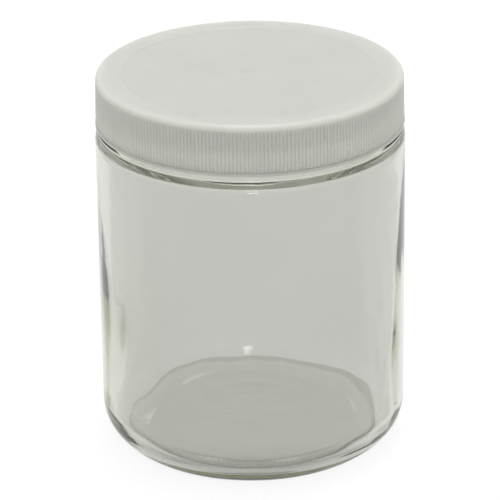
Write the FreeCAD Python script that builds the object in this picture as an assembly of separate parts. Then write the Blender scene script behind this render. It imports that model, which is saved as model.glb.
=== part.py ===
import FreeCAD, Part
import math
import os

# A clear glass wide-mouth jar with a straight wall and a ribbed plastic screw cap.
# Millimetres, +Z up. The origin is on the table, on the axis of the jar.

# Glass body
jar_height = 90.0             # table to the flat of the rim
body_radius = 36.5            # outside of the straight wall
body_wall = 2.8               # thickness of the straight wall
floor_level = 3.9             # table to the inside floor
heel_round = 9.8              # outside, between wall and base
inner_heel_round = 5.2        # inside, between wall and floor
bearing_width = 2.0           # flat ring that the jar stands on
push_up_height = 0.75         # the middle of the underside stands this far off the table
push_up_slope = 14.0          # bearing ring to the level middle of the underside
push_up_round = 18.0
bearing_round = 1.5

# Shoulder, between the straight wall and the neck
shoulder_width = 3.4          # straight wall to the neck, measured level
shoulder_ease_inset = 0.45    # how far the wall leans in before it turns over
shoulder_ease_angle = 10.0    # degrees off upright
shoulder_ease_round = 14.0
shoulder_turn_round = 0.6
ledge_slope = 7.0             # degrees off level, rising to the neck
neck_foot_round = 0.7
inner_shoulder_depth = 11.6   # rim to where the inside starts to widen
inner_shoulder_height = 2.6   # height over which the inside widens from bore to body
inner_shoulder_round = 2.0

# Neck
finish_height = 10.3          # ledge to rim
neck_wall = 2.6
rim_outer_round = 0.8
rim_inner_round = 0.6

# Screw thread of jar and cap: one start, right hand
thread_lead = 25.4 / 6        # six turns to the inch
thread_flank = 30.0           # degrees off level
thread_sink = 0.4             # how far a thread is rooted in its wall
runout_skim = 0.02            # a run-out ends this far under the surface of the wall
thread_height = 1.65          # crest of the jar's thread above the neck
thread_foot_width = 2.4       # of the jar's thread, along the axis
thread_top_depth = 1.2        # rim to the upper edge of the jar's thread
thread_turns = 1.15
cap_thread_crest_width = 0.7
cap_thread_turns = 1.05
cap_thread_land = 0.3         # mouth chamfer to the lower edge of the cap's thread
cap_runout_radius = 20.0      # round cut that fades the ends of the cap's thread

# Fits between jar and cap
crest_gap = 0.25              # crest of the jar's thread to the wall of the cap
cap_crest_gap = 0.4           # crest of the cap's thread to the neck
flank_gap = 0.15              # along the axis, where the threads pull on each other

# Cap
cap_height = 12.1
cap_draft = 1.2               # degrees; the skirt widens downwards
cap_edge_round = 1.3          # round of the top edge; the ribs end where it starts
panel_thickness = 1.3
panel_inner_bevel = 0.6
skirt_wall = 0.92             # at the foot, behind the roots of the ribs
rib_count = 256
rib_depth = 0.26
rib_root_step = 0.02          # the plain skirt lies this far under the roots of the ribs
bead_height = 0.8             # plain band under the ribs
bead_stand = 0.05             # the bead is proud of the ribs
bead_bevel = 0.25
mouth_chamfer = 0.4
ring_inset = 6.2              # edge of the top panel to its faint ring
ring_step = 0.12
ring_slope = 0.35
gate_radius = 1.7             # moulding mark in the middle of the panel
gate_depth = 0.25
gate_slope = 0.2

# Liner
liner_thickness = 1.0
liner_edge_gap = 0.9          # edge of the liner to the wall of the cap
liner_chamfer = 0.12

# Radii and levels that follow from the sizes above
neck_radius = body_radius - shoulder_width
bore_radius = neck_radius - neck_wall
inner_radius = body_radius - body_wall
ledge_level = jar_height - finish_height
crest_radius = neck_radius + thread_height
cap_bore_radius = crest_radius + crest_gap
cap_crest_radius = neck_radius + cap_crest_gap
liner_radius = cap_bore_radius - liner_edge_gap
rib_foot_radius = cap_bore_radius + skirt_wall + rib_depth
panel_underside = jar_height + liner_thickness
cap_top = panel_underside + panel_thickness
cap_foot = cap_top - cap_height
bead_top = cap_foot + bead_height
draft = math.tan(math.radians(cap_draft))
flank = math.tan(math.radians(thread_flank))

origin = FreeCAD.Vector(0, 0, 0)
upright = FreeCAD.Vector(0, 0, 1)


def point(radius, level):
    """A point at a radius from the axis and a level above the table."""
    return FreeCAD.Vector(radius, 0, level)


def rounded_outline(corners):
    """A closed wire through (radius, level, round) corners, each round a tangent arc."""
    arcs = []
    for index, (radius, level, rounding) in enumerate(corners):
        here = point(radius, level)
        before = point(*corners[index - 1][:2]) - here
        after = point(*corners[(index + 1) % len(corners)][:2]) - here
        before.normalize()
        after.normalize()
        half_angle = before.getAngle(after) / 2
        middle_way = (before + after).normalize() if rounding else origin
        reach = rounding / math.tan(half_angle)
        depth = rounding / math.sin(half_angle) - rounding
        arcs.append((here + before * reach, here + middle_way * depth, here + after * reach))
    edges = []
    for index, (start, middle, end) in enumerate(arcs):
        if start != end:
            edges.append(Part.Arc(start, middle, end).toShape())
        following = arcs[(index + 1) % len(arcs)][0]
        edges.append(Part.LineSegment(end, following).toShape())
    return Part.Wire(edges)


def turned(corners):
    """A solid of revolution about the upright axis."""
    return Part.Face(rounded_outline(corners)).revolve(origin, upright, 360)


def swept_thread(section, first_level, turns):
    """A thread swept up a right-handed helix from angle 0; section holds (radius, level) corners."""
    corners = [point(radius, first_level + level) for radius, level in section]
    helix = Part.makeHelix(thread_lead, thread_lead * turns, section[0][0])
    helix.translate(point(0, first_level))
    profile = Part.makePolygon(corners + corners[:1])
    return Part.Wire(helix.Edges).makePipeShell([profile], True, True)


def faded(thread, cutter, first_level, turns):
    """The thread with its two ends cut away by copies of a run-out cutter."""
    for done in (0, turns):
        end_cutter = cutter.copy()
        end_cutter.rotate(origin, upright, 360 * done)
        end_cutter.translate(point(0, first_level + thread_lead * done))
        thread = thread.cut(end_cutter)
    return thread


def jar_blank():
    """The glass body before its thread."""
    bearing_outer = body_radius - heel_round
    bearing_inner = bearing_outer - bearing_width
    turn_radius = body_radius - shoulder_ease_inset
    ledge_rise = (turn_radius - neck_radius) * math.tan(math.radians(ledge_slope))
    turn_level = ledge_level - ledge_rise
    ease_level = turn_level - shoulder_ease_inset / math.tan(math.radians(shoulder_ease_angle))
    widen_top = jar_height - inner_shoulder_depth
    widen_foot = widen_top - inner_shoulder_height
    return turned([
        (0, push_up_height, 0),
        (bearing_inner - push_up_slope, push_up_height, push_up_round),
        (bearing_inner, 0, bearing_round),
        (body_radius, 0, heel_round),
        (body_radius, ease_level, shoulder_ease_round),
        (turn_radius, turn_level, shoulder_turn_round),
        (neck_radius, ledge_level, neck_foot_round),
        (neck_radius, jar_height, rim_outer_round),
        (bore_radius, jar_height, rim_inner_round),
        (bore_radius, widen_top, inner_shoulder_round),
        (inner_radius, widen_foot, inner_shoulder_round),
        (inner_radius, floor_level, inner_heel_round),
        (0, floor_level, 0),
    ])


def jar_thread():
    """The raised thread on the neck. A flat, tangent to the neck, makes each run-out."""
    foot_half = thread_foot_width / 2
    crest_half = foot_half - thread_height * flank
    sunk_half = foot_half + thread_sink * flank
    sunk_radius = neck_radius - thread_sink
    section = [
        (sunk_radius, -sunk_half),
        (crest_radius, -crest_half),
        (crest_radius, crest_half),
        (sunk_radius, sunk_half),
    ]
    corner = FreeCAD.Vector(neck_radius - runout_skim, -neck_radius / 2, -thread_lead / 2)
    slab = Part.makeBox(thread_height * 2, neck_radius, thread_lead, corner)
    thread = swept_thread(section, jar_thread_level, thread_turns)
    return faded(thread, slab, jar_thread_level, thread_turns)


def cap_blank():
    """The cap as a plain moulding, before its ribs and thread."""
    skirt_radius = rib_foot_radius - rib_depth - rib_root_step
    bead_radius = rib_foot_radius + bead_stand
    edge_radius = skirt_radius - cap_height * draft
    ring_radius = edge_radius - ring_inset
    panel_level = cap_top - ring_step
    return turned([
        (0, panel_level - gate_depth, 0),
        (gate_radius, panel_level - gate_depth, 0),
        (gate_radius + gate_slope, panel_level, 0),
        (ring_radius, panel_level, 0),
        (ring_radius + ring_slope, cap_top, 0),
        (edge_radius, cap_top, cap_edge_round),
        (skirt_radius - bead_height * draft, bead_top, 0),
        (bead_radius, bead_top, 0),
        (bead_radius, cap_foot + bead_bevel, 0),
        (bead_radius - bead_bevel, cap_foot, 0),
        (cap_bore_radius + mouth_chamfer, cap_foot, 0),
        (cap_bore_radius, cap_foot + mouth_chamfer, 0),
        (cap_bore_radius, panel_underside - panel_inner_bevel, 0),
        (cap_bore_radius - panel_inner_bevel, panel_underside, 0),
        (0, panel_underside, 0),
    ])


def rib_outline(level):
    """The zigzag of all the ribs round the skirt at one level."""
    crest = rib_foot_radius - (level - cap_foot) * draft
    corners = []
    for index in range(rib_count * 2):
        angle = math.pi * index / rib_count
        reach = crest - rib_depth * (index % 2)
        corners.append(FreeCAD.Vector(reach * math.cos(angle), reach * math.sin(angle), level))
    return Part.makePolygon(corners + corners[:1])


def ribs():
    """The band of ribs round the skirt, rooted in the wall and in the bead."""
    foot = bead_top - bead_height / 2
    head = cap_top - cap_edge_round
    core = Part.makeCylinder(cap_bore_radius + skirt_wall / 2, cap_height, point(0, cap_foot))
    return Part.makeLoft([rib_outline(foot), rib_outline(head)], True, True).cut(core)


def cap_thread():
    """The thread inside the cap, close under the jar's own. A round cut fades each end."""
    sunk_radius = cap_bore_radius + thread_sink
    crest_half = cap_thread_crest_width / 2
    sunk_half = crest_half + (sunk_radius - cap_crest_radius) * flank
    section = [
        (sunk_radius, -sunk_half),
        (sunk_radius, sunk_half),
        (cap_crest_radius, crest_half),
        (cap_crest_radius, -crest_half),
    ]
    foot = point(cap_bore_radius + runout_skim - cap_runout_radius, -thread_lead / 2)
    drum = Part.makeCylinder(cap_runout_radius, thread_lead, foot)
    thread = swept_thread(section, cap_thread_level, cap_thread_turns)
    thread = faded(thread, drum, cap_thread_level, cap_thread_turns)
    thread.rotate(origin, upright, cap_thread_angle)
    return thread


def liner():
    """The sealing disc between the rim and the panel of the cap."""
    return turned([
        (0, jar_height, 0),
        (liner_radius - liner_chamfer, jar_height, 0),
        (liner_radius, jar_height + liner_chamfer, 0),
        (liner_radius, panel_underside - liner_chamfer, 0),
        (liner_radius - liner_chamfer, panel_underside, 0),
        (0, panel_underside, 0),
    ])


# Levels of the two threads. The cap's is turned about the axis until it runs under the jar's.
cap_thread_foot_half = cap_thread_crest_width / 2 + (cap_bore_radius - cap_crest_radius) * flank
thread_spacing = thread_foot_width / 2 + cap_thread_crest_width / 2 - cap_crest_gap * flank + flank_gap
jar_thread_level = jar_height - thread_top_depth - thread_foot_width / 2 - thread_lead * thread_turns
cap_thread_level = cap_foot + mouth_chamfer + cap_thread_land + cap_thread_foot_half
cap_thread_angle = 360 * (cap_thread_level - jar_thread_level + thread_spacing) / thread_lead

pieces = {
    "glass_jar": jar_blank().fuse(jar_thread()).removeSplitter(),
    "screw_cap": cap_blank().fuse([ribs(), cap_thread()]),
    "cap_liner": liner(),
}

os.makedirs("parts", exist_ok=True)
for name, shape in pieces.items():
    solids = shape.Solids
    print(name, "solids", len(solids), "valid", shape.isValid(), "volume", round(shape.Volume, 1))
    solids[0].exportStep(f"parts/{name}.step")
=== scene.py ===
# %% [markdown]
# A wide-mouth glass jar with a ribbed plastic screw cap
#
# The jar is clear soda-lime glass, pressed and blown in a mould, so it is one closed surface with a
# real wall. Glass only looks right when light can bend into it and out of it again, and so the
# inside of the jar is modelled as carefully as the outside. The cap is moulded plastic, and its look
# comes from fine ribs that catch the light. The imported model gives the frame, in metres. The sizes
# of the three pieces are in millimetres here, until their points are handed over.

# %% Load the frame
import math
import bpy
import numpy as np
from mathutils import Matrix, Vector


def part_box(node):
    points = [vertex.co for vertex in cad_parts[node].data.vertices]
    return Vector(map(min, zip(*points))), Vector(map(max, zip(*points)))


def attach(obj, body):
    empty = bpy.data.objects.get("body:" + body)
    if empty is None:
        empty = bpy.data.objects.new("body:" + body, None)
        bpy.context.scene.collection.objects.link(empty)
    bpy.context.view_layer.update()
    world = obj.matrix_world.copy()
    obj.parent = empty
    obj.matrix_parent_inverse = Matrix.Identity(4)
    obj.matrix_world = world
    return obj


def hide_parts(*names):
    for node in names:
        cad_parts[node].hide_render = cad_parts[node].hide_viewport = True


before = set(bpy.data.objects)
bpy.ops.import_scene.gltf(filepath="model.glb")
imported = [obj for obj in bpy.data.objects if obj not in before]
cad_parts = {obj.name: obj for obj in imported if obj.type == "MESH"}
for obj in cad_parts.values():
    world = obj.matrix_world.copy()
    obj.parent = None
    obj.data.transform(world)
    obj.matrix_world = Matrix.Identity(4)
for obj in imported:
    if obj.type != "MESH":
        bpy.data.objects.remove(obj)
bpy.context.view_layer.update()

MM = 0.001
jar_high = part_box("glass_jar")[1]
cap_low, cap_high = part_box("screw_cap")
liner_low, liner_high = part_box("cap_liner")
print("jar is", round(jar_high.z / MM, 2), "mm high and", round(2 * jar_high.x / MM, 2), "mm wide")
print("cap spans", round(cap_low.z / MM, 2), "to", round(cap_high.z / MM, 2), "mm")

# %% [markdown]
# The camera
#
# By its perspective the photograph was taken from about three quarters of a metre away, looking down
# on the jar. A long lens keeps the sides of the jar nearly parallel. Place and tilt could be set by
# eye, but glass shows every degree, so they are the ones at which the outline of a 73 mm jar falls on
# the outline in the picture. Angles are in radians, lengths in metres.

# %% Camera
camera_back = 0.7002
camera_height = 0.3526
camera_pitch = 0.41187
camera_yaw = -0.000577
camera_roll = -0.012924
focal_in_picture_widths = 6.4068
sensor_width = 36.0


def aimed(pitch, yaw, roll):
    """The camera's axes as a matrix: right, up and back in its columns."""
    level = math.cos(pitch)
    forward = Vector((math.sin(yaw) * level, math.cos(yaw) * level, -math.sin(pitch)))
    right = forward.cross(Vector((0, 0, 1))).normalized()
    up = right.cross(forward)
    turned_right = math.cos(roll) * right + math.sin(roll) * up
    turned_up = math.cos(roll) * up - math.sin(roll) * right
    return Matrix((turned_right, turned_up, -forward)).transposed()


lens = bpy.data.cameras.new("camera")
lens.sensor_width = sensor_width
lens.lens = focal_in_picture_widths * sensor_width
lens.clip_start = 0.01
lens.clip_end = 20.0
camera = bpy.data.objects.new("camera", lens)
camera.matrix_world = aimed(camera_pitch, camera_yaw, camera_roll).to_4x4()
camera.location = (0, -camera_back, camera_height)
bpy.context.scene.collection.objects.link(camera)
bpy.context.scene.camera = camera
print("lens", round(lens.lens, 1), "mm")

# %% [markdown]
# Turning a shape
#
# Jar, cap and liner are all turned shapes: an outline that goes once round an axis. A modifier could
# spin the outline, but here each ring of the surface is worked out by itself, because the thread,
# the ribs and the uneven glass change the radius from place to place. Rings may also have more or
# fewer points than their neighbours, so fine ribs don't crowd the middle of the cap.

# %% Outlines with rounded corners
def rounded(corners, step_angle=math.radians(9), shortest=0.0):
    """Points (radius, level) along an outline whose (radius, level, round) corners become arcs.

    An arc gets a point for each step angle, but its points are no closer than the shortest step.
    """
    points = [np.array(corners[0][:2], float)]
    for before, here, after in zip(corners, corners[1:], corners[2:]):
        at = np.array(here[:2], float)
        to_before = np.array(before[:2], float) - at
        to_after = np.array(after[:2], float) - at
        to_before /= np.linalg.norm(to_before)
        to_after /= np.linalg.norm(to_after)
        half = math.acos(np.clip(to_before @ to_after, -1, 1)) / 2
        if here[2] == 0:
            points.append(at)
            continue
        reach = here[2] / math.tan(half)
        middle_way = (to_before + to_after) / np.linalg.norm(to_before + to_after)
        centre = at + middle_way * here[2] / math.sin(half)
        start = at + to_before * reach - centre
        turn = math.pi - 2 * half
        if start[0] * to_before[1] - start[1] * to_before[0] > 0:
            turn = -turn
        count = max(2, math.ceil(abs(turn) / max(step_angle, shortest / here[2])))
        for share in np.linspace(0, 1, count + 1):
            c, s = math.cos(turn * share), math.sin(turn * share)
            points.append(centre + np.array((c * start[0] - s * start[1], s * start[0] + c * start[1])))
    points.append(np.array(corners[-1][:2], float))
    return np.array(points)


print("a quarter round gets", len(rounded([(1, 0, 0), (0, 0, 1), (0, 1, 0)])), "points")


def spaced(points, longest):
    """The same outline with extra points, so that no stretch is longer than given."""
    out = [points[0]]
    for a, b in zip(points, points[1:]):
        pieces = max(1, math.ceil(np.linalg.norm(b - a) / longest))
        out.extend(a + (b - a) * (k + 1) / pieces for k in range(pieces))
    return np.array(out)


# %% Rings into a mesh
def angles(count):
    """Evenly spaced angles once round the axis."""
    return np.arange(count) * 2 * math.pi / count


def ring(radius, level, count):
    """Points round the axis; radius and level may be numbers or one value for each point."""
    a = angles(count)
    return np.stack([radius * np.cos(a), radius * np.sin(a), np.broadcast_to(level, count)], axis=1)


def along(start, count, sectors, i):
    """The points of one ring that border sector i, in the order of their angles."""
    if count == 1:
        return [start]
    each = count // sectors
    return [start + (i * each + j) % count for j in range(each + 1)]


sharp_from = math.radians(38)
print("edges of", round(math.degrees(sharp_from)), "degrees and more stay sharp")


def skin(name, rings, body, slot_name, material, *nodes):
    """A closed mesh over rings of points, from one pole on the axis to the other."""
    poles = [np.array([[0, 0, end[:, 2].mean()]]) for end in (rings[0], rings[-1])]
    points = poles[:1] + rings + poles[1:]
    starts = np.cumsum([0] + [len(p) for p in points])
    faces = []
    for k in range(len(rings) + 1):
        low, high = len(points[k]), len(points[k + 1])
        sectors = min(low, high) if min(low, high) > 1 else max(low, high)
        for i in range(sectors):
            near = along(starts[k], low, sectors, i)
            far = along(starts[k + 1], high, sectors, i)
            faces.append(tuple(near + far[::-1]))
    mesh = bpy.data.meshes.new(name)
    mesh.from_pydata(np.concatenate(points).tolist(), [], faces)
    mesh.polygons.foreach_set("use_smooth", [True] * len(faces))
    mesh.set_sharp_from_angle(angle=sharp_from)
    mesh.materials.append(material)
    mesh.validate()
    thing = bpy.data.objects.new(name, mesh)
    bpy.context.scene.collection.objects.link(thing)
    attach(thing, body)
    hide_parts(*nodes)
    triangles = sum(len(f) - 2 for f in faces)
    print(name, "has", len(rings), "rings and", triangles, "triangles")


def shaped(outline, counts, offset):
    """Rings along an outline; offset(angles, radius, level) moves each point along the normal."""
    ahead = np.gradient(outline, axis=0)
    ahead /= np.linalg.norm(ahead, axis=1)[:, None]
    rings = []
    for (radius, level), (along_r, along_z), count in zip(outline, ahead, counts):
        if radius <= 0:
            continue
        out = offset(angles(count), radius, level)
        rings.append(ring(radius + along_z * out, level - along_r * out, count))
    return rings


# %% [markdown]
# Uneven glass and moulded plastic
#
# Nothing blown in a mould is perfectly even. The outside of the jar follows the steel of the mould
# and is nearly true, but the inside was only shaped by air, so its wall swells and thins in long
# soft waves. A sum of a few sine waves with fixed random phases gives such waves: it is smooth
# everywhere and closes on itself after one turn. A noise texture would need more care at the seam.

# %% Waves
wave_seed = 7
rng = np.random.default_rng(wave_seed)
print("waves start from seed", wave_seed)


def waves(turns_range, length_range, number, size):
    """A smooth uneven field over angle and distance: wave numbers round and along, random phases."""
    around = rng.integers(turns_range[0], turns_range[1] + 1, number)
    lengths = rng.uniform(*length_range, number) * rng.choice([-1, 1], number)
    phases = rng.uniform(0, 2 * math.pi, number)
    share = size / math.sqrt(number)

    def field(a, distance):
        total = 0
        for n, length, phase in zip(around, lengths, phases):
            total = total + np.sin(n * a + 2 * math.pi * distance / length + phase)
        return share * total

    return field


# %% [markdown]
# The glass jar, outside
#
# The jar stands on a narrow ring, and the middle of its base is pushed up so that it can't rock.
# From the base a large round leads into the straight wall, and at the top the glass turns over
# sharply into a ledge, from which the neck rises. The outline repeats the corners and rounds of the
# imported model, apart from the softer push-up, so that both stay one shape.

# %% Sizes of the jar
jar_height = jar_high.z / MM
body_radius = jar_high.x / MM
body_wall = 2.8
heel_round = 9.8
bearing_width = 2.0
bearing_round = 1.5
push_up_height = 0.75
push_up_slope = 14
push_up_round = 150
wall_ease = 0.45
wall_ease_angle = 10
wall_ease_round = 14
shoulder_width = 3.4
shoulder_turn_round = 0.6
ledge_slope = 7
finish_height = 10.3
neck_foot_round = 0.7
neck_wall = 2.6
rim_outer_round = 0.8

bearing_outer = body_radius - heel_round
bearing_inner = bearing_outer - bearing_width
neck_radius = body_radius - shoulder_width
bore_radius = neck_radius - neck_wall
rim_middle = (neck_radius + bore_radius) / 2
turn_radius = body_radius - wall_ease
ledge_level = jar_height - finish_height
turn_level = ledge_level - (turn_radius - neck_radius) * math.tan(math.radians(ledge_slope))
ease_level = turn_level - wall_ease / math.tan(math.radians(wall_ease_angle))

jar_step_angle = math.radians(4)
jar_shortest = 0.12
outside = rounded([
    (0, push_up_height, 0),
    (bearing_inner - push_up_slope, push_up_height, push_up_round),
    (bearing_inner, 0, bearing_round),
    (body_radius, 0, heel_round),
    (body_radius, ease_level, wall_ease_round),
    (turn_radius, turn_level, shoulder_turn_round),
    (neck_radius, ledge_level, neck_foot_round),
    (neck_radius, jar_height, rim_outer_round),
    (rim_middle, jar_height, 0),
], jar_step_angle, jar_shortest)
print("outside outline has", len(outside), "points")

# %% [markdown]
# The screw thread
#
# A jar of this kind carries one right-handed thread of a little over one turn, six turns to the
# inch. It could be a separate sweep joined to the neck, but glass has no joint there, so the thread
# is a swelling of the neck's own surface: how far it stands out depends on angle and level only.
# Its crest and foot are rounded, because molten glass doesn't fill a sharp corner.

# %% Screw thread of the jar
thread_lead = 25.4 / 6
thread_height = 1.65
thread_foot_half = 1.2
thread_top_depth = 1.2
thread_turns = 1.15
jar_thread_round = 0.25
flank = math.tan(math.radians(30))
jar_thread_level = jar_height - thread_top_depth - thread_foot_half - thread_lead * thread_turns


def soft_least(a, b, blend):
    """The smaller of two fields, with a rounded change from one to the other."""
    h = np.clip(0.5 + 0.5 * (b - a) / blend, 0, 1)
    return b + (a - b) * h - blend * h * (1 - h)


def thread(a, level, first_angle, first_level, turns, foot_half, height, fade, corner):
    """How far a thread stands out of its wall at these angles and this level."""
    total = np.zeros_like(a)
    for lap in range(3):
        done = ((a - first_angle) % (2 * math.pi)) / (2 * math.pi) + lap
        off_middle = np.abs(level - first_level - thread_lead * done)
        side = (foot_half - off_middle) / flank
        nearest_end = 2 * math.pi * np.minimum(done, turns - done)
        standing = soft_least(soft_least(side, height, corner), fade(nearest_end), corner)
        total = np.maximum(total, np.where(done < turns, standing, 0))
    return np.maximum(total, 0)


def jar_fade(angle):
    """Height left by a flat cut, tangent to the neck, at this angle from the end of the thread."""
    return neck_radius / np.cos(np.clip(angle, 0, 1.0)) - neck_radius


print("thread of the jar starts at", round(jar_thread_level, 2), "mm")

# %% [markdown]
# Small forms on the outside of the jar
#
# Two seams run up the wall where the halves of the mould met. The bearing ring has fine ridges, so
# that the hot jar touches the belt in only a few places. The middle of the underside is faintly
# mottled. All of these are a few hundredths of a millimetre high. A bump texture could fake them,
# but glass bends light at its true surface, so they are in the surface itself. The wall stands a
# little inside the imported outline, to leave the waves room.

# %% Small forms on the outside of the jar
room_for_waves = 0.07
seam_height = 0.02
seam_half_width = 0.012
grip_count = 128
grip_depth = 0.03
grip_radius = bearing_outer + 0.6
grip_reach = 1.6
underside_top = 2
wall_foot = 0.3
wall_foot_rise = 3
wave_free_radius = 12
table_clearance = 0.05
mould_wave = waves((2, 9), (40, 160), 8, 0.012)
mottle_reach = 8.5
mottle_tries = 90
mottle_radius = 0.8
mottle_height = 0.028
mottles = rng.uniform(-mottle_reach, mottle_reach, (mottle_tries, 2))
mottles = mottles[np.hypot(*mottles.T) < mottle_reach]
print("the underside has", len(mottles), "faint mottles")


def mottled(a, radius):
    """Height of the mottling at these angles: soft bumps at scattered places."""
    x, y = radius * np.cos(a), radius * np.sin(a)
    away = np.min(np.hypot(x[:, None] - mottles[:, 0], y[:, None] - mottles[:, 1]), axis=1)
    return mottle_height * np.exp(-(away / mottle_radius) ** 2)


def outside_offset(a, radius, level):
    """Millimetres out from the outline, at these angles."""
    if level > ledge_level + 0.4:
        return thread(a, level, 0, jar_thread_level, thread_turns, thread_foot_half, thread_height,
                      jar_fade, jar_thread_round)
    # Seams and the room for the waves grow in over the lowest millimetres of the wall
    underneath = radius < bearing_outer + 2 and level < underside_top
    up_wall = 0 if underneath else np.clip((level - wall_foot) / wall_foot_rise, 0, 1)
    from_seam = np.abs((a + math.pi / 2) % math.pi - math.pi / 2)
    out = mould_wave(a, level) * np.clip(radius / wave_free_radius, 0, 1) ** 3 - room_for_waves * up_wall
    out = out + up_wall * seam_height * np.exp(-(from_seam / seam_half_width) ** 2)
    on_ring = math.exp(-((radius - grip_radius) / grip_reach) ** 2) * (level < underside_top)
    out = out - on_ring * grip_depth * (1 + np.cos(grip_count * a)) / 2
    if radius < mottle_reach + 2.5 and level < underside_top:
        out = out + mottled(a, radius)
    return np.minimum(out, max(0, level - table_clearance)) if level < 1 else out


# %% [markdown]
# The glass jar, inside
#
# Below the neck the bore widens to the body. The wall runs down and meets the floor in a tight
# corner, and the floor rises a little to its middle. The imported model has a plain round and a level
# floor there, but this line shows through the glass all round. It is not a true circle: glass sags
# while it is hot, so the line wanders in and out, and the wall above it is thicker on the left side
# of the picture. These few slow swellings are listed one by one, because they can be seen. The fine
# unevenness between them comes from the waves.

# %% Inside outline
floor_level = 5.2
floor_edge_level = 4.1
floor_rise_width = 17
floor_rise_round = 250
heel_height = 3.4
heel_inset = 2.6
heel_corner_round = 7
edge_round = 0.5
inner_shoulder_depth = 11.6
inner_shoulder_height = 2.6
inner_shoulder_round = 2.0
rim_inner_round = 0.6

inner_radius = body_radius - body_wall
floor_edge_radius = inner_radius - heel_inset
widen_top = jar_height - inner_shoulder_depth
widen_foot = widen_top - inner_shoulder_height
inside = rounded([
    (rim_middle, jar_height, 0),
    (bore_radius, jar_height, rim_inner_round),
    (bore_radius, widen_top, inner_shoulder_round),
    (inner_radius, widen_foot, inner_shoulder_round),
    (inner_radius, floor_edge_level + heel_height, heel_corner_round),
    (floor_edge_radius, floor_edge_level, edge_round),
    (floor_edge_radius - floor_rise_width, floor_level, floor_rise_round),
    (0, floor_level, 0),
], jar_step_angle, jar_shortest)
print("inside outline has", len(inside), "points")

# %% Uneven inside
wall_wave = waves((2, 7), (45, 150), 8, 0.16)
streak_wave = waves((9, 26), (60, 300), 10, 0.035)
floor_wave = waves((2, 6), (25, 70), 8, 0.05)

# Each swelling of the wall: millimetres, its direction and half width in degrees, its level and reach
wall_swellings = ((1.1, 183, 60, 22, 18), (-0.5, 0, 40, 32, 12))
# Each shift of the edge of the floor: millimetres outwards, its direction and half width in degrees
edge_shifts = ((0.9, 40, 20), (-1.4, 183, 40), (-0.6, 0, 20))
calm_under_neck = 12
calm_heel_top = 12
calm_heel_reach = 6
calm_floor_radius = 24
calm_floor_width = 7
shift_reach = 4
shift_from_radius = 22
shift_width = 6
print("the wall swells by up to", max(size for size, *rest in wall_swellings), "mm")


def hump(a, degrees, width):
    """A soft bump over the angle, 1 at its middle; the width is in degrees."""
    away = np.degrees(np.angle(np.exp(1j * (a - math.radians(degrees)))))
    return np.exp(-(away / width) ** 2)


def inside_offset(a, radius, level):
    """Millimetres out of the glass, into the jar."""
    below_neck = np.clip((widen_foot - level) / calm_under_neck, 0, 1)
    to_middle = np.clip(radius / inner_radius, 0, 1) ** 3
    way = (jar_height - level) + (inner_radius - radius)
    off_floor = np.clip((radius - calm_floor_radius) / calm_floor_width, 0, 1)
    on_wall = math.exp(-(max(0, calm_heel_top - level) / calm_heel_reach) ** 2) * off_floor
    out = (wall_wave(a, way) + streak_wave(a, way)) * below_neck * on_wall
    for size, toward, width, middle, reach in wall_swellings:
        out = out + on_wall * size * hump(a, toward, width) * math.exp(-((level - middle) / reach) ** 2)
    return out + (level < floor_level + 0.5) * floor_wave(a, way) * to_middle


def edge_wander(points):
    """The ring with the edge of the floor pushed in or out, further at some angles than at others."""
    a = np.arctan2(points[:, 1], points[:, 0])
    radius = np.hypot(points[:, 0], points[:, 1])
    level = points[:, 2]
    shift = sum(size * hump(a, toward, width) for size, toward, width in edge_shifts)
    outer_part = np.clip((radius - shift_from_radius) / shift_width, 0, 1)
    near = np.exp(-((level - floor_edge_level) / shift_reach) ** 2) * outer_part
    points[:, :2] *= (1 + shift * near / radius)[:, None]
    return points


# %% [markdown]
# Rings of the jar
#
# Rings lie close together only where the surface curves or carries small forms: on the underside,
# the thread and the edge of the floor. Along the straight wall they are far apart. The bearing ring
# has twice as many points round, for its grip ridges. That keeps the jar under 200,000 triangles.

# %% Rings of the jar
neck_step = 0.2
fine_step = 0.4
floor_step = 1.2
coarse_step = 1.4
body_columns = 256
fine_columns = 512

outside = np.concatenate([spaced(outside[:2], fine_step), spaced(outside[1:], coarse_step)[1:]])
neck_foot = np.argmax(outside[:, 1] > ledge_level + neck_foot_round - 0.1)
neck_head = np.argmax(outside[:, 1] > jar_height - rim_outer_round - 0.02)
neck_levels = np.arange(ledge_level + neck_foot_round + 0.05, jar_height - rim_outer_round - 0.05, neck_step)
neck = np.stack([np.full_like(neck_levels, neck_radius), neck_levels], axis=1)
outside = np.concatenate([outside[:neck_foot], neck, outside[neck_head:]])

inside = spaced(inside, coarse_step)
to_floor = np.argmax(inside[:, 1] < floor_edge_level + 12)
past_edge = np.argmax((inside[:, 1] < floor_level + 1) & (inside[:, 0] < floor_edge_radius - 1))
inside = np.concatenate([
    inside[1:to_floor],
    spaced(inside[to_floor - 1:past_edge], fine_step)[1:],
    spaced(inside[past_edge - 1:], floor_step)[1:],
])

on_grip = (outside[:, 0] > bearing_inner - 1) & (outside[:, 0] < bearing_outer + 4) & (outside[:, 1] < 2.5)
outside_counts = np.where(on_grip, fine_columns, body_columns)
jar_rings = shaped(outside, outside_counts, outside_offset)
jar_rings += [edge_wander(points) for points in shaped(inside, [body_columns] * len(inside), inside_offset)]
jar_rings = [points * MM for points in jar_rings]
print("jar has", len(outside), "rings outside and", len(inside), "inside")

# %% [markdown]
# The cap
#
# The cap is injection moulded in white polypropylene. Its skirt has 256 fine upright ribs for grip,
# which stop at a plain bead. The top has a faint ring near its edge and a small round mark where the
# plastic flowed in. Inside is the thread that takes hold of the jar's. All radii are built up from
# the jar's neck outwards, thread, gap and wall in turn, because that is how a cap is made to fit.

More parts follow.
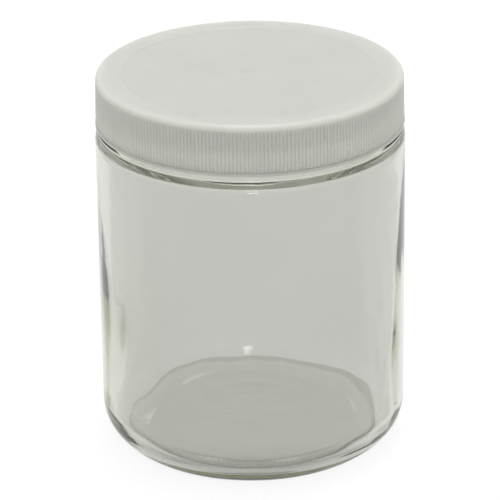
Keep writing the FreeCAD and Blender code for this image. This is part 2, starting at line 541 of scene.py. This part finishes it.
# %% Sizes of the cap
crest_gap = 0.25
cap_crest_gap = 0.4
skirt_wall = 0.92
rib_count = 256
rib_depth = 0.26
rib_wave = 0.18
bead_stand = 0.05
bead_height = 0.8
mouth_chamfer = 0.4
bead_round = 0.22
edge_bend = 1.3
edge_sink = 0.03
ring_inset = 6.2
ring_step = 0.12
ring_round = 0.3
gate_radius = 1.75
gate_depth = 0.1

cap_top = cap_high.z / MM
cap_foot = cap_low.z / MM
panel_underside = liner_high.z / MM
draft = math.tan(math.radians(1.2))
crest_radius = neck_radius + thread_height
cap_bore_radius = crest_radius + crest_gap
cap_crest_radius = neck_radius + cap_crest_gap
rib_foot_radius = cap_bore_radius + skirt_wall + rib_depth
bead_radius = rib_foot_radius + bead_stand
bead_top = cap_foot + bead_height
edge_radius = rib_foot_radius - (cap_top - cap_foot) * draft
rib_head = cap_top - edge_bend
ring_radius = edge_radius - ring_inset
ring_level = cap_top - ring_step
print("cap bore is", round(2 * cap_bore_radius, 2), "mm, rib pitch",
      round(2 * math.pi * rib_foot_radius / rib_count, 2), "mm")

# %% Outlines of the cap
skirt_rings = 14
panel_step = 2.0
cap_thread_step = 0.15
cap_inside = rounded([
    (0, panel_underside, 0),
    (cap_bore_radius, panel_underside, 0.6),
    (cap_bore_radius, cap_foot, 0),
], math.radians(15))
cap_inside = spaced(cap_inside[cap_inside[:, 1] > panel_underside - 0.61], 2.5)
thread_levels = np.arange(cap_foot + mouth_chamfer, panel_underside - 0.7, cap_thread_step)[::-1]
cap_bore = np.stack([np.full_like(thread_levels, cap_bore_radius), thread_levels], axis=1)
cap_mouth = rounded([
    (cap_bore_radius + mouth_chamfer, cap_foot, 0),
    (bead_radius, cap_foot, bead_round),
    (bead_radius, bead_top, 0.1),
    (bead_radius - 0.4, bead_top + 0.02, 0),
], math.radians(18))
skirt_levels = np.linspace(bead_top + 0.04, rib_head, skirt_rings)
skirt = np.stack([rib_foot_radius - (skirt_levels - cap_foot) * draft, skirt_levels], axis=1)
cap_edge = rounded([
    (edge_radius, rib_head - 0.1, 0),
    (edge_radius, cap_top, edge_bend),
    (ring_radius + 0.5, cap_top, 0),
])[1:]
cap_panel = rounded([
    (ring_radius + 0.45, cap_top, 0),
    (ring_radius + 0.2, cap_top, ring_round),
    (ring_radius, ring_level, ring_round),
    (gate_radius + 0.15, ring_level, 0.15),
    (gate_radius, ring_level - gate_depth, 0.1),
    (0, ring_level - gate_depth, 0),
], math.radians(12))
cap_panel = spaced(cap_panel, panel_step)
print("panel of the cap has", len(cap_panel), "rings")

# %% [markdown]
# Thread and ribs of the cap
#
# The cap's thread has the same lead as the jar's and runs close under it, so that the two pull on
# each other when the cap is turned tight. Its ends fade out as if a round cutter had run out there.
# The ribs could be copies of one rib, but they are so fine that it is simpler to let the radius of
# the skirt swing 256 times round. That makes their crests and the grooves between them soft.

# %% Thread and ribs of the cap
cap_thread_crest_half = 0.35
cap_thread_turns = 1.05
cap_thread_round = 0.15
cap_thread_land = 0.3
flank_gap = 0.15
runout_radius = 20.0
runout_skim = 0.02
rib_growth = 0.5
panel_wave = waves((1, 5), (18, 60), 6, 0.02)
panel_sink = 0.05

cap_thread_height = cap_bore_radius - cap_crest_radius
cap_thread_foot_half = cap_thread_crest_half + cap_thread_height * flank
cap_thread_level = cap_foot + mouth_chamfer + cap_thread_land + cap_thread_foot_half
thread_spacing = thread_foot_half + cap_thread_crest_half - cap_crest_gap * flank + flank_gap
cap_thread_angle = 2 * math.pi * (cap_thread_level - jar_thread_level + thread_spacing) / thread_lead
runout_centre = cap_bore_radius + runout_skim - runout_radius
print("thread of the cap starts at", round(cap_thread_level, 2), "mm")


def cap_fade(angle):
    """Height left by a round cut at this angle from the end of the cap's thread."""
    near = np.clip(angle, 0, 1.0)
    across = np.sqrt(runout_radius ** 2 - (runout_centre * np.sin(near)) ** 2)
    return cap_bore_radius - (runout_centre * np.cos(near) + across)


def cap_bore_offset(a, radius, level):
    """Into the cap, by the height of its thread."""
    return thread(a, level, cap_thread_angle, cap_thread_level, cap_thread_turns, cap_thread_foot_half,
                  cap_thread_height, cap_fade, cap_thread_round)


def rib_offset(a, radius, level):
    """Down into the grooves between the ribs, which grow out of the plain edge and the bead."""
    wave = (1 + np.cos(rib_count * a)) / 2
    grown = np.clip((rib_head - level) / rib_growth, 0, 1) * np.clip((level - bead_top) / 0.15, 0.2, 1)
    return -rib_wave * (1 - wave) * grown


def edge_offset(a, radius, level):
    """The flat part of the edge sinks a little, to meet the panel."""
    return 0 * a - edge_sink * (radius < edge_radius - 1)


def panel_offset(a, radius, level):
    """A moulded panel is never quite flat: it sinks and waves a little between middle and edge."""
    fading = np.clip(radius / 6, 0, 1) * np.clip((edge_radius - radius) / 4, 0, 1)
    return panel_wave(a, radius) * fading - panel_sink


def plain_offset(a, radius, level):
    """No offset: the turned shape as it is."""
    return 0 * a


# %% Rings of the cap
cap_parts = (
    (cap_inside, 256, plain_offset),
    (cap_bore, 512, cap_bore_offset),
    (cap_mouth, 512, plain_offset),
    (skirt, rib_count * 8, rib_offset),
    (cap_edge, 512, edge_offset),
    (cap_panel, 256, panel_offset),
)
cap_rings = []
for outline, columns, offset in cap_parts:
    cap_rings += [points * MM for points in shaped(outline, [columns] * len(outline), offset)]
print("cap has", len(cap_rings), "rings")

# %% [markdown]
# The liner
#
# A disc of soft foamed plastic lies in the cap and seals on the rim. Where the rim has pressed on it,
# it keeps a shallow round groove. A flat disc would do while the cap is closed, but unscrewed its
# underside can be seen through the neck.

# %% Rings of the liner
liner_columns = 192
liner_edge_round = 0.12
liner_step = 0.6
groove_depth = 0.05
groove_reach = 0.9
liner_radius = liner_high.x / MM
liner_low_level = liner_low.z / MM
liner_outline = rounded([
    (0, liner_low_level, 0),
    (liner_radius, liner_low_level, liner_edge_round),
    (liner_radius, panel_underside, liner_edge_round),
    (0, panel_underside, 0),
], math.radians(20))
liner_outline = spaced(liner_outline, liner_step)


def liner_offset(a, radius, level):
    """Into the foam, where the rim has pressed on its underside."""
    pressed = math.exp(-((radius - rim_middle) / groove_reach) ** 2) * (level < liner_low_level + 0.1)
    return -groove_depth * pressed + 0 * a


liner_counts = [liner_columns] * len(liner_outline)
liner_rings = [points * MM for points in shaped(liner_outline, liner_counts, liner_offset)]
print("liner is", round(2 * liner_radius, 2), "mm wide and",
      round(panel_underside - liner_low_level, 2), "mm thick")

# %% [markdown]
# Finishes
#
# Each finish is a small tree of nodes that works out colour and gloss from a place on the object.
# Pictures could be wrapped round the pieces instead, but a procedure needs no seam and no file. The
# helpers below make one node each, so that a finish reads like a formula.

# %% Material helpers
def material(name):
    """A new node material, with its tree, its main shader and its output."""
    made = bpy.data.materials.new(name)
    made.use_nodes = True
    nodes = made.node_tree.nodes
    return made, made.node_tree, nodes["Principled BSDF"], nodes["Material Output"]


def noise(tree, scale, detail=4.0):
    """A noise texture in the object's own coordinates, in metres."""
    where = tree.nodes.new("ShaderNodeTexCoord")
    texture = tree.nodes.new("ShaderNodeTexNoise")
    texture.inputs["Scale"].default_value = scale
    texture.inputs["Detail"].default_value = detail
    tree.links.new(where.outputs["Object"], texture.inputs["Vector"])
    return texture.outputs["Fac"]


def ramp(tree, value, low, high, at=(0.3, 0.7)):
    """Turns a value from 0 to 1 into a colour between two ends."""
    node = tree.nodes.new("ShaderNodeValToRGB")
    for element, place, colour in zip(node.color_ramp.elements, at, (low, high)):
        element.position = place
        element.color = (*colour, 1)
    tree.links.new(value, node.inputs["Fac"])
    return node.outputs["Color"]


def calc(tree, operation, first, second=0.0):
    """One arithmetic node; each side is a socket or a number."""
    node = tree.nodes.new("ShaderNodeMath")
    node.operation = operation
    for side, socket in zip((first, second), node.inputs):
        if isinstance(side, (int, float)):
            socket.default_value = side
        else:
            tree.links.new(side, socket)
    return node.outputs[0]


def product(tree, first, *others):
    """Several values multiplied."""
    for other in others:
        first = calc(tree, "MULTIPLY", first, other)
    return first


def spread(tree, value, low, high, start=0.3, end=0.7, smooth=False):
    """Maps a value that goes from start to end on to the range from low to high, and clamps it."""
    node = tree.nodes.new("ShaderNodeMapRange")
    node.interpolation_type = "SMOOTHSTEP" if smooth else "LINEAR"
    node.inputs["From Min"].default_value = start
    node.inputs["From Max"].default_value = end
    node.inputs["To Min"].default_value = low
    node.inputs["To Max"].default_value = high
    tree.links.new(value, node.inputs["Value"])
    return node.outputs["Result"]


def mixed(tree, share, first, second):
    """A colour between a socket's colour and a fixed one."""
    node = tree.nodes.new("ShaderNodeMixRGB")
    node.inputs["Color2"].default_value = (*second, 1)
    tree.links.new(first, node.inputs["Color1"])
    tree.links.new(share, node.inputs["Fac"])
    return node.outputs["Color"]


def places(tree):
    """Where a point is, in metres: x, y, z and its distance from the upright axis."""
    where = tree.nodes.new("ShaderNodeTexCoord")
    apart = tree.nodes.new("ShaderNodeSeparateXYZ")
    tree.links.new(where.outputs["Object"], apart.inputs["Vector"])
    x, y, z = apart.outputs["X"], apart.outputs["Y"], apart.outputs["Z"]
    squares = calc(tree, "ADD", calc(tree, "MULTIPLY", x, x), calc(tree, "MULTIPLY", y, y))
    return x, y, z, calc(tree, "SQRT", squares)


def bump(tree, shader, value, height, strength):
    """Fine relief that is too small for the mesh."""
    node = tree.nodes.new("ShaderNodeBump")
    node.inputs["Distance"].default_value = height
    node.inputs["Strength"].default_value = strength
    tree.links.new(value, node.inputs["Height"])
    tree.links.new(node.outputs["Normal"], shader.inputs["Normal"])


# %% [markdown]
# Clear glass
#
# Clear glass is not colourless: through its edge it looks olive green, because of iron in the sand.
# Light is soaked up along its way through the glass, and so that colour belongs to the inside, as
# absorption, and not to the surface. Real glass has no more colour than that. To reach the tones of
# the photograph, the body is also grey at its surface, unlike the neck, and a darker line of painted
# shade runs round the edge of the floor. The surface is fire polished and only faintly uneven, while
# the underside is a little rough from the mould.

# %% Clear glass
body_tint = (0.785, 0.785, 0.78)
neck_tint = (1.0, 1.0, 0.97)
# The darker tint of the line round the edge of the floor is painted shade.
painted_edge_shade_colour = (0.50, 0.51, 0.46)
neck_tint_from = 76.2
neck_tint_to = 77.5
olive = (0.31, 0.34, 0.0, 1)
olive_per_metre = 31.0
underside_roughness = 0.12
polish_scale = 60.0
polish_roughness = 0.015
ripple_scale = 140.0
ripple_height = 0.06

glass, tree, shader, output = material("clear_glass")
x, y, z, from_axis = places(tree)
shoulder_up = spread(tree, z, 0, 1, neck_tint_from * MM, neck_tint_to * MM)
body_and_neck = ramp(tree, shoulder_up, body_tint, neck_tint, (0, 1))
# Painted shade: the glass is darker in a narrow band at the edge of the floor.
on_floor = calc(tree, "LESS_THAN", from_axis, (inner_radius - 0.5) * MM)
not_below = calc(tree, "GREATER_THAN", z, (floor_edge_level - 0.7) * MM)
near_edge = spread(tree, z, 1, 0, (floor_edge_level + 0.1) * MM, (floor_edge_level + 0.2) * MM)
painted_edge_line = product(tree, on_floor, not_below, near_edge)
tree.links.new(mixed(tree, painted_edge_line, body_and_neck, painted_edge_shade_colour), shader.inputs["Base Color"])
underside = spread(tree, z, underside_roughness, 0, 1.0 * MM, 2.2 * MM)
polish = spread(tree, noise(tree, polish_scale), 0.0, polish_roughness)
tree.links.new(calc(tree, "ADD", polish, underside), shader.inputs["Roughness"])
shader.inputs["Transmission Weight"].default_value = 1.0
shader.inputs["IOR"].default_value = 1.5
bump(tree, shader, noise(tree, ripple_scale, 2.0), ripple_height * MM, 0.35)

absorb = tree.nodes.new("ShaderNodeVolumeAbsorption")
absorb.inputs["Color"].default_value = olive
absorb.inputs["Density"].default_value = olive_per_metre
tree.links.new(absorb.outputs["Volume"], output.inputs["Volume"])
print("glass material has", len(tree.nodes), "nodes")

# %% [markdown]
# White cap plastic
#
# Polypropylene lets light in a few millimetres deep and scatters it, which makes the cap look soft
# rather than chalky. Thin milky plastic could also be a mix of glass and paint, but subsurface
# scattering does this by itself. The colour clouds very slightly, and the narrow grooves between
# the ribs are painted greyer, as painted shade where little light reaches in. The side towards the
# jar is painted paler than the outside, as painted light, to match the light band that shows through
# the glass under the cap in the photograph.

# %% White cap plastic
plastic_dark = (0.705, 0.71, 0.61)
plastic_light = (0.745, 0.75, 0.645)
# Painted shade: the colour of the grooves between the ribs is greyer.
groove_shade_colour = (0.64, 0.645, 0.55)
# Painted light: the side of the cap towards the jar is paler.
inner_light_colour = (0.97, 0.97, 0.92)
scatter_depth = (6.0 * MM, 6.0 * MM, 5.5 * MM)
cloud_scale = 45.0
gloss_scale = 300.0
grain_scale = 2500.0
grain_height = 0.02

cap_plastic, tree, shader, output = material("cap_plastic")
x, y, z, from_axis = places(tree)
# Painted light on the inside of the skirt and under the panel
in_bore = calc(tree, "LESS_THAN", from_axis, (cap_bore_radius + 0.2) * MM)
under_panel = calc(tree, "LESS_THAN", z, (panel_underside + 0.1) * MM)
inner_side = calc(tree, "MULTIPLY", in_bore, under_panel)
# Painted shade in the grooves between the ribs, on the skirt between bead and edge
swing = calc(tree, "COSINE", calc(tree, "MULTIPLY", calc(tree, "ARCTAN2", y, x), float(rib_count)))
in_groove = spread(tree, swing, 1, 0, -1.0, 0.1, smooth=True)
below_edge = spread(tree, z, 1, 0, (rib_head - 0.4) * MM, rib_head * MM)
above_bead = calc(tree, "GREATER_THAN", z, bead_top * MM)
outer_colour = ramp(tree, noise(tree, cloud_scale), plastic_dark, plastic_light)
outer_colour = mixed(tree, product(tree, in_groove, below_edge, above_bead), outer_colour, groove_shade_colour)
tree.links.new(mixed(tree, inner_side, outer_colour, inner_light_colour), shader.inputs["Base Color"])
tree.links.new(spread(tree, noise(tree, gloss_scale), 0.38, 0.5), shader.inputs["Roughness"])
shader.inputs["Subsurface Weight"].default_value = 1.0
shader.inputs["Subsurface Radius"].default_value = scatter_depth
shader.inputs["Subsurface Scale"].default_value = 1.0
bump(tree, shader, noise(tree, grain_scale, 3.0), grain_height * MM, 0.5)
print("plastic material has", len(tree.nodes), "nodes")

# %% [markdown]
# Liner foam
#
# Foamed polyethylene is white and matt, with tiny cells. Fine noise in colour, roughness and relief
# is enough, because the disc is hardly seen.

# %% Liner foam
foam_dark = (0.80, 0.80, 0.76)
foam_light = (0.88, 0.88, 0.85)
cell_scale = 3500.0
cell_height = 0.06
foam, tree, shader, output = material("liner_foam")
tree.links.new(ramp(tree, noise(tree, 900.0), foam_dark, foam_light), shader.inputs["Base Color"])
tree.links.new(spread(tree, noise(tree, 500.0), 0.6, 0.8), shader.inputs["Roughness"])
bump(tree, shader, noise(tree, cell_scale, 2.0), cell_height * MM, 0.6)
print("foam material has", len(tree.nodes), "nodes")

# %% [markdown]
# The pieces
#
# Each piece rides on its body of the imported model, so that it moves with the joints, and takes the
# place of the plain solid.

# %% Make the pieces
skin("glass_jar_visual", jar_rings, "jar", "clear_glass", glass, "glass_jar")
skin("screw_cap_visual", cap_rings, "cap", "cap_plastic", cap_plastic, "screw_cap")
skin("cap_liner_visual", liner_rings, "liner", "liner_foam", foam, "cap_liner")

# %% [markdown]
# Floor
#
# The jar stands on a pale floor, as on a light table. The floor glows for the rays that show the
# background, so that it is white round the jar. Its paint is dark for those rays, enough to keep a
# faint shadow, and pale for the light that it throws up at the jar. Brighter lamps could whiten the
# floor too, but they would wash out the cap. Glass shows what lies behind it, so the rays that go
# through it or bounce off it must see that white as well. Under the jar that glow is dimmed by
# painted shade of the foot: more towards the front, and most in narrow lines.

# %% Floor
half = 4.0
print("floor is", 2 * half, "m wide")
floor_corners = [(-half, -half, 0), (half, -half, 0), (half, half, 0), (-half, half, 0)]
floor_mesh = bpy.data.meshes.new("floor")
floor_mesh.from_pydata(floor_corners, [], [(0, 1, 2, 3)])
floor = bpy.data.objects.new("floor", floor_mesh)
bpy.context.scene.collection.objects.link(floor)


def background_rays(tree):
    """1 for rays that show the background: from the camera, off shiny things and through glass."""
    path = tree.nodes.new("ShaderNodeLightPath").outputs
    seen = calc(tree, "MAXIMUM", path["Is Camera Ray"], path["Is Glossy Ray"])
    return calc(tree, "MAXIMUM", seen, path["Is Transmission Ray"])


# %% Floor paint
glow_seen = 0.88
glow_under_glass = 0.82
front_shade = 0.7
# Where the painted shade and the painted dark lines under the jar begin and where they are full, in metres
# along y
front_shade_from = -0.014
front_shade_to = -0.034
line_from = -0.008
line_to = -0.022
# Each painted dark line under the heel, in metres: its radius and half width, and the share of light it
# leaves
heel_lines = ((0.0288, 0.0010, 0.3), (0.0247, 0.0014, 0.72), (0.0337, 0.0018, 0.72))
paint_for_light = 0.92
paint_seen = 0.2

floor_paint, tree, shader, output = material("floor")
shader.inputs["Roughness"].default_value = 0.9
shader.inputs["Specular IOR Level"].default_value = 0.0
shader.inputs["Emission Color"].default_value = (1, 1, 1, 1)
x, y, z, from_axis = places(tree)


def line_light(radius, half_width, left):
    """Share of light left by a painted dark line round the foot, which is there only at the front."""
    off_line = calc(tree, "ABSOLUTE", calc(tree, "SUBTRACT", from_axis, radius))
    on_line = spread(tree, off_line, 1, 0, 0, half_width, smooth=True)
    at_front = spread(tree, y, 1 - left, 0, line_to, line_from)
    return calc(tree, "SUBTRACT", 1.0, calc(tree, "MULTIPLY", on_line, at_front))


# Painted shade under the jar, in the glow that shows through the glass
to_front = spread(tree, y, front_shade, 1, front_shade_to, front_shade_from)
under_jar = product(tree, to_front, *[line_light(*line) for line in heel_lines], glow_under_glass)
shown = background_rays(tree)
seen_directly = tree.nodes.new("ShaderNodeLightPath").outputs["Is Camera Ray"]
through_glass = calc(tree, "MULTIPLY", calc(tree, "SUBTRACT", shown, seen_directly), under_jar)
glow = calc(tree, "ADD", through_glass, calc(tree, "MULTIPLY", seen_directly, glow_seen))
tree.links.new(glow, shader.inputs["Emission Strength"])
tree.links.new(spread(tree, shown, paint_for_light, paint_seen, 0, 1), shader.inputs["Base Color"])
floor_mesh.materials.append(floor_paint)
print("floor material has", len(tree.nodes), "nodes")

# %% [markdown]
# Surroundings
#
# The world lights the jar evenly from all sides. Rays that show the background see it as pure white,
# all others find a dimmer one, so the white costs no contrast on the cap.

# %% Surroundings
world_for_light = 0.59
world_seen = 1.0
world = bpy.data.worlds.new("surroundings")
bpy.context.scene.world = world
world.use_nodes = True
tree = world.node_tree
sky = tree.nodes["Background"]
sky.inputs["Color"].default_value = (1, 1, 1, 1)
sky_strength = spread(tree, background_rays(tree), world_for_light, world_seen, 0, 1)
tree.links.new(sky_strength, sky.inputs["Strength"])
print("world gives", world_for_light, "for light and", world_seen, "to be seen")

# %% [markdown]
# Lamps
#
# A soft lamp overhead gives the top of the cap its brightness and the jar its faint shadow. It is
# not seen through the glass, where it would be a bright square. A second lamp stands at the front
# and makes small highlights on the shoulder and at the back of the heel.

# %% Lamps
lamp_target = (0, 0, 0.05)


def softbox(name, place, width, height, power):
    """A rectangular lamp that faces the jar; metres and watts."""
    lamp = bpy.data.lights.new(name, "AREA")
    lamp.shape = "RECTANGLE"
    lamp.size = width
    lamp.size_y = height
    lamp.energy = power
    holder = bpy.data.objects.new(name, lamp)
    holder.location = place
    holder.rotation_euler = (Vector(lamp_target) - Vector(place)).to_track_quat("-Z", "Y").to_euler()
    bpy.context.scene.collection.objects.link(holder)
    print(name, "lamp gives", power, "W")
    return holder


overhead = softbox("overhead", (0.05, 0.1, 1.1), 0.25, 0.25, 4.0)
overhead.visible_transmission = False
front = softbox("front", (0.03, -0.95, 0.85), 0.18, 0.26, 1.35)

# %% [markdown]
# How far light is followed
#
# A ray that looks through a closed jar crosses the glass many times, and in the heel it is guided
# along inside the wall. With too few bounces those places turn black, so more are allowed here.

# %% Bounces and view
bounces_through = 28
bounces_off = 12
bpy.context.scene.view_settings.view_transform = "Standard"
bpy.context.scene.cycles.max_bounces = bounces_through
bpy.context.scene.cycles.transmission_bounces = bounces_through
bpy.context.scene.cycles.glossy_bounces = bounces_off
print("light is followed through", bounces_through, "surfaces")
